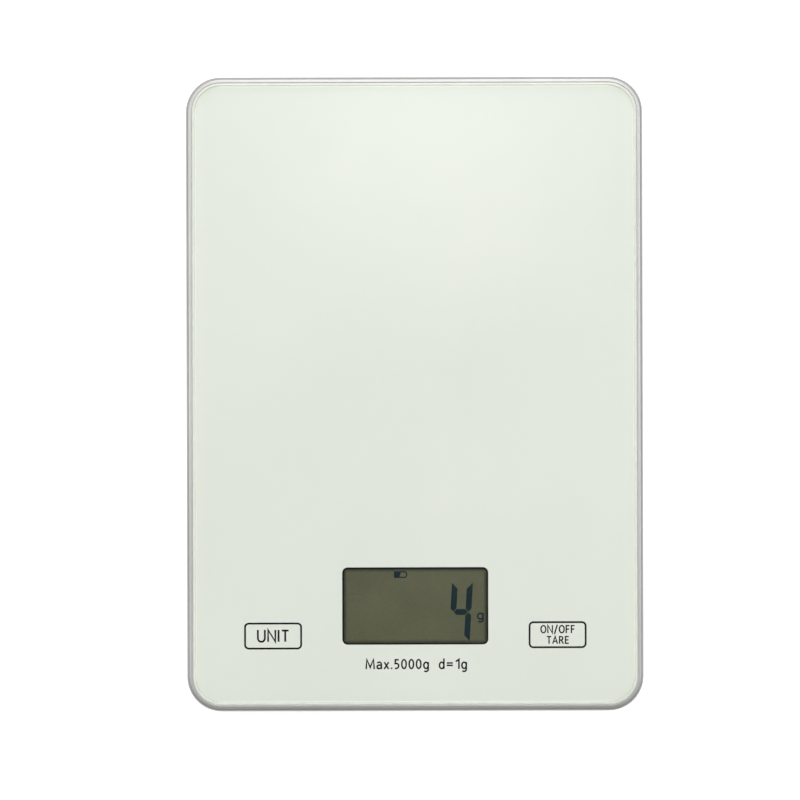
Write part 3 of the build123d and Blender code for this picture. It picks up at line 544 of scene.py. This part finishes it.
def rimSurface(profile, halfX, halfY, radius, steps, hollow=False):
    # the profile's (inset, height) points are each carried once round the outline; the two ends are closed
    # flat, or joined to each other on a hollow ring
    rings = []
    for inset, height in profile:
        flat = roundedRing(halfX - inset, halfY - inset, radius - inset, steps)
        rings.append(np.column_stack([flat, np.full(len(flat), height)]))
    count, turns = len(rings[0]), len(rings)
    points = np.concatenate(rings)
    row, column = np.meshgrid(np.arange(turns if hollow else turns - 1), np.arange(count), indexing="ij")
    nextRow, nextColumn = (row + 1) % turns, (column + 1) % count
    quads = np.stack([row * count + column, row * count + nextColumn,
                      nextRow * count + nextColumn, nextRow * count + column], axis=-1).reshape(-1, 4)
    caps = [list(range(count))[::-1], list(range((turns - 1) * count, turns * count))]
    return points, quads.tolist() + ([] if hollow else caps)


glassPlate = {
    "halfWidth": 69.85, "halfLength": 97.85, "corner": 8.85, "low": 12.0, "high": 16.0,
    "pencilRadius": 0.55,  # the polished round of the edge
    "cornerSteps": 40, "edgeSteps": 9,
}


def makeGlassPlate():
    # flat plate whose edge profile is a quarter circle below, a short straight land and a quarter circle
    # above
    size = glassPlate
    sweep = np.linspace(0, math.pi / 2, size["edgeSteps"])
    r = size["pencilRadius"]
    lower = np.column_stack([r - r * np.sin(sweep), size["low"] + r - r * np.cos(sweep)])
    upper = np.column_stack([r - r * np.cos(sweep), size["high"] - r + r * np.sin(sweep)])
    profile = np.concatenate([lower, upper])
    points, faces = rimSurface(profile, size["halfWidth"], size["halfLength"], size["corner"],
                               size["cornerSteps"])
    caps = (len(faces) - 2, len(faces) - 1)
    plate = makePiece("glassPlate", points, faces, temperedGlass, replaced=("glass_platform",),
                      flatFaces=caps)
    plate.data.materials.append(groundGlassEdge)
    for polygon in plate.data.polygons:
        polygon.material_index = 0 if polygon.index in caps else 1
    return plate


edgeSeal = {"low": 14.0, "high": 15.12, "crown": 15.2, "outward": 0.14, "inward": 0.03}


def makeEdgeSeal():
    # bead of milky silicone that fills the gap between the rim and the glass, a little domed
    size, seal = glassPlate, edgeSeal
    middle = (seal["inward"] - seal["outward"]) / 2
    profile = [(-seal["outward"], seal["low"]), (-seal["outward"], seal["high"]), (middle, seal["crown"]),
               (seal["inward"], seal["high"]), (seal["inward"], seal["low"])]
    points, faces = rimSurface(profile, size["halfWidth"], size["halfLength"], size["corner"],
                               size["cornerSteps"],
                               hollow=True)
    return makePiece("edgeSeal", points, faces, sealSilicone)


makeGlassPlate()
makeEdgeSeal()


def thinSlabs(outlines, low, high):
    # each closed outline (counter-clockwise, in millimetres) becomes a slab with flat faces and upright
    # sides
    points, faces = [], []
    for outline in outlines:
        outline = np.asarray(outline, dtype=float)
        count, base = len(outline), sum(len(p) for p in points)
        points.append(np.column_stack([outline, np.full(count, low)]))
        points.append(np.column_stack([outline, np.full(count, high)]))
        here = np.arange(count)
        after = (here + 1) % count
        sides = np.stack([base + here, base + after, base + count + after, base + count + here], axis=-1)
        faces += sides.tolist()
        faces.append((base + here[::-1]).tolist())
        faces.append((base + count + here).tolist())
    return np.concatenate(points), faces


def arc(centre, radii, fromDegrees, toDegrees, steps=10):
    turn = np.radians(np.linspace(fromDegrees, toDegrees, steps))
    return [(centre[0] + radii[0] * math.cos(t), centre[1] + radii[1] * math.sin(t)) for t in turn]


def strokeStrip(path, width, low, high, closed=False):
    # a pen line of even width: each point moves half the width along the mean of its two sides' normals,
    # and a little further at a corner; returns points in rows of four and their faces
    path = np.asarray(path, dtype=float)
    before = np.roll(path, 1, axis=0)
    after = np.roll(path, -1, axis=0)
    if not closed:
        before[0] = 2 * path[0] - path[1]
        after[-1] = 2 * path[-1] - path[-2]
    sides = []
    for way in (path - before, after - path):
        way = way / np.linalg.norm(way, axis=1, keepdims=True)
        sides.append(way[:, ::-1] * [-1, 1])
    mean = sides[0] + sides[1]
    mean /= np.linalg.norm(mean, axis=1, keepdims=True)
    reach = width / 2 / np.maximum((mean * sides[0]).sum(axis=1, keepdims=True), 0.4)
    left, right = path + mean * reach, path - mean * reach
    count = len(path)
    rows = np.stack([np.column_stack([edge, np.full(count, level)])
                     for edge, level in ((left, low), (right, low), (right, high), (left, high))], axis=1)
    here = np.arange(count if closed else count - 1)[:, None] * 4
    after = (here + 4) % (4 * count)
    corner = np.arange(4)[None, :]
    nextCorner = (corner + 1) % 4
    quads = np.stack([here + corner, after + corner, after + nextCorner, here + nextCorner],
                     axis=-1).reshape(-1, 4)
    ends = [] if closed else [[0, 1, 2, 3], [4 * count - 1, 4 * count - 2, 4 * count - 3, 4 * count - 4]]
    return rows.reshape(-1, 3), quads.tolist() + ends


# each letter's width and its strokes, all in capital heights; a stroke that ends where it starts is a
# closed ring
letters = {
    "U": (0.62, [[(0, 1), (0, 0.30), *arc((0.31, 0.30), (0.31, 0.30), 190, 350), (0.62, 0.30), (0.62, 1)]]),
    "N": (0.64, [[(0, 0), (0, 1), (0.64, 0), (0.64, 1)]]),
    "I": (0.0, [[(0, 0), (0, 1)]]),
    "T": (0.60, [[(0, 0.94), (0.60, 0.94)], [(0.30, 0.94), (0.30, 0)]]),
    "O": (0.68, [arc((0.34, 0.5), (0.34, 0.45), 0, 360, 29)]),
    "F": (0.44, [[(0.44, 0.94), (0, 0.94), (0, 0)], [(0, 0.50), (0.40, 0.50)]]),
    "/": (0.40, [[(0, -0.12), (0.40, 1.06)]]),
    "A": (0.64, [[(0, 0), (0.32, 0.96), (0.64, 0)], [(0.12, 0.32), (0.52, 0.32)]]),
    "R": (0.52,
          [[(0, 0), (0, 0.94), (0.20, 0.94), *arc((0.20, 0.71), (0.24, 0.23), 80, -80),
            (0.20, 0.48), (0, 0.48)],
                 [(0.24, 0.48), (0.52, 0)]]),
    "E": (0.44, [[(0.44, 0.94), (0, 0.94), (0, 0.06), (0.44, 0.06)], [(0, 0.50), (0.40, 0.50)]]),
    "M": (0.80, [[(0, 0), (0.07, 0.97), (0.40, 0.16), (0.73, 0.97), (0.80, 0)]]),
    "a": (0.42, [[*arc((0.21, 0.50), (0.21, 0.20), 150, 10), (0.42, 0.42), (0.42, 0)],
                 [(0.42, 0.40), (0.22, 0.40), *arc((0.20, 0.22), (0.20, 0.18), 100, 270), (0.42, 0.14)]]),
    "x": (0.44, [[(0, 0), (0.44, 0.70)], [(0, 0.70), (0.44, 0)]]),
    ".": (0.02, [[(0, 0), (0, 0.15)]]),
    "5": (0.42, [[(0.40, 0.94), (0.07, 0.94), (0.05, 0.55), *arc((0.12, 0.32), (0.28, 0.26), 70, -110)]]),
    "0": (0.44, [arc((0.22, 0.5), (0.22, 0.45), 0, 360, 29)]),
    "g": (0.44, [arc((0.22, 0.36), (0.22, 0.32), 0, 360, 25),
                 [(0.44, 0.70), (0.44, -0.02), *arc((0.22, -0.04), (0.22, 0.22), -20, -140, 8)]]),
    "d": (0.44, [arc((0.22, 0.36), (0.22, 0.32), 0, 360, 25), [(0.44, 1.06), (0.44, 0)]]),
    "=": (0.60, [[(0, 0.60), (0.60, 0.60)], [(0, 0.36), (0.60, 0.36)]]),
    "1": (0.32, [[(0, 0.74), (0.32, 0.96), (0.32, 0)]]),
    " ": (0.54, []),
}
lettering = {
    "low": 11.984, "high": 11.996,  # between the enamel and the glass
    "spacing": 0.29,  # between two letters' strokes, in capital heights
    "tight": {"TA": 0.08},  # letter pairs that stand closer
    # words, left end and baseline, width, capital height, stroke
    "lines": {
        "unitKeyWord": ("UNIT", (-49.7, -78.1), 9.7, 3.75, 0.60),
        "powerKeyWord": ("ON/OFF", (39.65, -75.6), 10.6, 2.5, 0.43),
        "tareKeyWord": ("TARE", (41.5, -78.95), 6.9, 2.4, 0.43),
        "capacityWords": ("Max.5000g d=1g", (-15.55, -86.8), 31.6, 3.1, 0.50),
    },
}


def makeStrokes(name, strokes, width, low, high, material):
    # every stroke is a strip of its own; each next one lies a hair lower, so that no two tops share a plane
    points, faces, base = [], [], 0
    for index, path in enumerate(strokes):
        closed = math.dist(path[0], path[-1]) < 1e-6
        drop = (high - low) * 0.03 * (index % 8)
        strip, stripFaces = strokeStrip(path[:-1] if closed else path, width, low, high - drop, closed)
        points.append(strip)
        faces += (np.array(stripFaces) + base).tolist()
        base += len(strip)
    points = np.concatenate(points)
    return makePiece(name, points, faces, material, flatFaces=range(len(faces)))


def makeWords(name, words, start, width, capital, stroke):
    # letters side by side from the left end, then drawn out or squeezed to the wanted width
    along, placed = 0.0, []
    for index, letter in enumerate(words):
        advance, strokes = letters[letter]
        along -= lettering["tight"].get(words[max(index - 1, 0):index + 1], 0.0)
        placed += [[(along + x, y) for x, y in path] for path in strokes]
        along += advance + lettering["spacing"]
    across = width / ((along - lettering["spacing"]) * capital)
    strokes = [[(start[0] + x * capital * across, start[1] + y * capital) for x, y in path]
               for path in placed]
    return makeStrokes(name, strokes, stroke, lettering["low"], lettering["high"], slateInk)


for pieceName, line in lettering["lines"].items():
    makeWords(pieceName, *line)

labelBorder = {
    "middle": (0.0, 42.0), "half": (29.4, 16.4), "corner": 1.4, "line": 0.45,
    "low": 2.588, "high": 2.598,  # just above the label's lower face
}


def makeLabelBorder():
    # a thin printed frame just inside the rating label's edge, on its lower face: four quarter rounds
    # joined up
    path = []
    inward = labelBorder["corner"]
    for sideX, sideY, turn in ((1, 1, 0), (-1, 1, 90), (-1, -1, 180), (1, -1, 270)):
        middle = (labelBorder["middle"][0] + sideX * (labelBorder["half"][0] - inward),
                  labelBorder["middle"][1] + sideY * (labelBorder["half"][1] - inward))
        path += arc(middle, (inward, inward), turn, turn + 90)
    closedPath = path + path[:1]
    makeStrokes("labelBorder", [closedPath], labelBorder["line"], labelBorder["low"], labelBorder["high"],
                labelInk)


makeLabelBorder()

digit = {
    "middle": (14.4, -68.9), "width": 6.6, "height": 18.6, "bar": 1.84, "gap": 0.13, "slant": 0.057,
    "low": 11.204, "high": 11.214,  # just over the polarising film
}


def makeDigitFour():
    # four bars of a seven-bar digit, with mitred ends; each point is moved sideways by slant times its
    # height
    w, h, t, g = digit["width"], digit["height"] / 2, digit["bar"], digit["gap"]
    leftUpper = np.array([(0, h - g), (0, t / 2 + g), (t / 2, g), (t, t / 2 + g), (t, h - t - g)])
    rightUpper = leftUpper[::-1] * [-1, 1] + [w, 0]
    rightLower = rightUpper[::-1] * [1, -1]
    inner = t + g
    middleBar = np.array([(t / 2 + g, 0), (inner, -t / 2), (w - inner, -t / 2), (w - t / 2 - g, 0),
                          (w - inner, t / 2), (inner, t / 2)])
    bars = []
    for bar in (leftUpper, rightUpper, rightLower, middleBar):
        slanted = bar + np.column_stack([bar[:, 1] * digit["slant"], np.zeros(len(bar))])
        bars.append(slanted + [digit["middle"][0] - w / 2, digit["middle"][1]])
    points, faces = thinSlabs(bars, digit["low"], digit["high"])
    return makePiece("displayDigit", points, faces, segmentInk, flatFaces=range(len(faces)))


batterySign = {"left": -6.67, "right": -2.5, "top": -56.0, "bottom": -58.1, "line": 0.36, "filledTo": -4.7}


def makeBatterySign():
    # a lying battery: full block on the left, thin outline with a round nose on the right
    s = batterySign
    middle = (s["top"] + s["bottom"]) / 2
    half = (s["top"] - s["bottom"]) / 2
    block = [(s["left"], s["bottom"]), (s["filledTo"] - 0.35, s["bottom"]),
             (s["filledTo"] + 0.25, s["top"]), (s["left"], s["top"])]
    turn = np.linspace(-math.pi / 2, math.pi / 2, 15)
    nose = s["right"] - half * 0.8
    outer = np.column_stack([nose + half * 0.8 * np.cos(turn), middle + half * np.sin(turn)])
    inner = np.column_stack([nose + (half * 0.8 - s["line"]) * np.cos(turn),
                             middle + (half - s["line"]) * np.sin(turn)])
    lowStart = [(s["filledTo"] - 0.35, s["bottom"])]
    lowEnd = [(s["filledTo"] - 0.27, s["bottom"] + s["line"])]
    highStart = [(s["filledTo"] + 0.25, s["top"])]
    highEnd = [(s["filledTo"] + 0.17, s["top"] - s["line"])]
    loop = np.concatenate([lowStart, outer, highStart, highEnd, inner[::-1], lowEnd])
    points, faces = thinSlabs([block, loop], digit["low"], digit["high"])
    return makePiece("displayBatterySign", points, faces, segmentInk, flatFaces=range(len(faces)))


gramSign = {"left": 19.72, "baseline": -71.3, "height": 2.9, "stroke": 0.5}


def makeGramSign():
    # the same letter g as in the printed line
    g = gramSign
    strokes = [[(g["left"] + x * g["height"] * 1.3, g["baseline"] + y * g["height"]) for x, y in path]
               for path in letters["g"][1]]
    return makeStrokes("displayGramSign", strokes, g["stroke"], digit["low"], digit["high"], segmentInk)


makeDigitFour()
makeBatterySign()
makeGramSign()
print("pieces made")

floorLook = {
    "shade": "#f4f4f3", "light": "#f6f6f5", "roughness": 0.7, "glow": 0.55,
    "size": 24.0, "gapMm": 0.02,  # its side in metres, and how far it lies below the feet
}


def makeFloor():
    material, tree = newMaterial("paleBoard")
    grain = addNoise(tree, 12.0, 2.0)
    shader = addNode(tree, "ShaderNodeBsdfPrincipled", inputs={
        "Base Color": addRamp(tree, grain, [(0.3, floorLook["shade"]), (0.7, floorLook["light"])]),
        "Roughness": floorLook["roughness"],
        "Emission Color": (1, 1, 1, 1), "Emission Strength": floorLook["glow"]})
    # clear from below, so that the underside can be looked at
    side = addNode(tree, "ShaderNodeNewGeometry").outputs["Backfacing"]
    clear = addNode(tree, "ShaderNodeBsdfTransparent")
    mix = addNode(tree, "ShaderNodeMixShader",
                  inputs={0: side, 1: shader.outputs["BSDF"], 2: clear.outputs["BSDF"]})
    closeSurface(tree, mix.outputs["Shader"])
    half = floorLook["size"] / 2
    mesh = bpy.data.meshes.new("floor")
    low = cadBox[0][2] - floorLook["gapMm"] * mm
    mesh.from_pydata([(-half, -half, low), (half, -half, low), (half, half, low), (-half, half, low)], [],
                     [(0, 1, 2, 3)])
    mesh.materials.append(material)
    floor = bpy.data.objects.new("floor", mesh)
    bpy.context.scene.collection.objects.link(floor)


lamps = {
    "rearSoftbox": {"place": (0.05, 0.85, 1.75), "size": 0.7, "power": 6.0},
    "rightSoftbox": {"place": (0.90, 0.15, 1.70), "size": 0.6, "power": 3.9},
    "leftSoftbox": {"place": (-0.90, 0.10, 1.70), "size": 0.6, "power": 3.6},
}


def makeLamps():
    for name, lamp in lamps.items():
        light = bpy.data.lights.new(name, "AREA")
        light.shape = "SQUARE"
        light.size = lamp["size"]
        light.energy = lamp["power"]
        holder = bpy.data.objects.new(name, light)
        x, y, z = lamp["place"]
        reach = math.hypot(x, y)
        holder.location = (x, y, z)
        # its face turned to the object
        holder.rotation_euler = (math.atan2(reach, z), 0, math.atan2(x, -y))
        bpy.context.scene.collection.objects.link(holder)


sky = {
    "side": 0.70,  # brightness of the room away from straight up
    "ceiling": 1.74,  # and round straight up
    "front": 0.26, "rear": 0.94,
    "shade": {"way": (0.0, -0.13, 0.991), "spread": 0.42},  # dark place overhead, mirrored by the front rim
    "panel": {"way": (0.01, 0.11, 0.994), "spread": 0.10, "strength": 0.9},
    # mirrored by the far end of the glass
}


def makeSky():
    world = bpy.data.worlds.new("studioSky")
    bpy.context.scene.world = world
    world.use_nodes = True
    tree = world.node_tree
    tree.nodes.clear()
    way = addNode(tree, "ShaderNodeTexCoord").outputs["Generated"]
    parts = addNode(tree, "ShaderNodeSeparateXYZ", inputs={"Vector": way})

    def nearness(value, far, near, low, high):
        # low at far, high at near, with an eased change between them
        return addNode(tree, "ShaderNodeMapRange", {"interpolation_type": "SMOOTHSTEP"}, {
            "Value": value, "From Min": far, "From Max": near, "To Min": low,
            "To Max": high}).outputs["Result"]

    def combine(operation, first, second):
        return addNode(tree, "ShaderNodeMath", {"operation": operation},
                       {0: first, 1: second}).outputs["Value"]

    def distanceTo(place):
        return addNode(tree, "ShaderNodeVectorMath", {"operation": "DISTANCE"},
                       {0: way, 1: place}).outputs["Value"]

    room = nearness(parts.outputs["Z"], 0.45, 0.93, sky["side"], sky["ceiling"])
    depth = nearness(parts.outputs["Y"], -0.6, 0.6, sky["front"], sky["rear"])
    shade = nearness(distanceTo(sky["shade"]["way"]), 0.0, sky["shade"]["spread"], 0.0, 1.0)
    panel = nearness(distanceTo(sky["panel"]["way"]), sky["panel"]["spread"], 0.0, 0.0,
                     sky["panel"]["strength"])
    lit = combine("MULTIPLY", combine("MULTIPLY", room, depth), shade)
    background = addNode(tree, "ShaderNodeBackground", inputs={
        "Color": (1, 1, 1, 1), "Strength": combine("ADD", lit, panel)})
    output = addNode(tree, "ShaderNodeOutputWorld")
    tree.links.new(background.outputs["Background"], output.inputs["Surface"])


cameraSetup = {
    "above": 900.0,  # millimetres over the glass
    "aim": (-4.65, -1.9),  # the object stands a little right of and above the middle of the frame
    "lens": 128.7, "turnDegrees": -0.15,
}


def makeCamera():
    data = bpy.data.cameras.new("viewCamera")
    data.lens = cameraSetup["lens"]
    data.sensor_width = 36.0
    data.clip_start = 0.01
    data.clip_end = 50.0
    camera = bpy.data.objects.new("viewCamera", data)
    x, y = cameraSetup["aim"]
    camera.location = (x * mm, y * mm, (glassPlate["high"] + cameraSetup["above"]) * mm)
    camera.rotation_euler = (0, 0, math.radians(cameraSetup["turnDegrees"]))
    bpy.context.scene.collection.objects.link(camera)
    bpy.context.scene.camera = camera


makeFloor()
makeLamps()
makeSky()
makeCamera()
bpy.context.scene.view_settings.view_transform = "Standard"
print("stage ready")
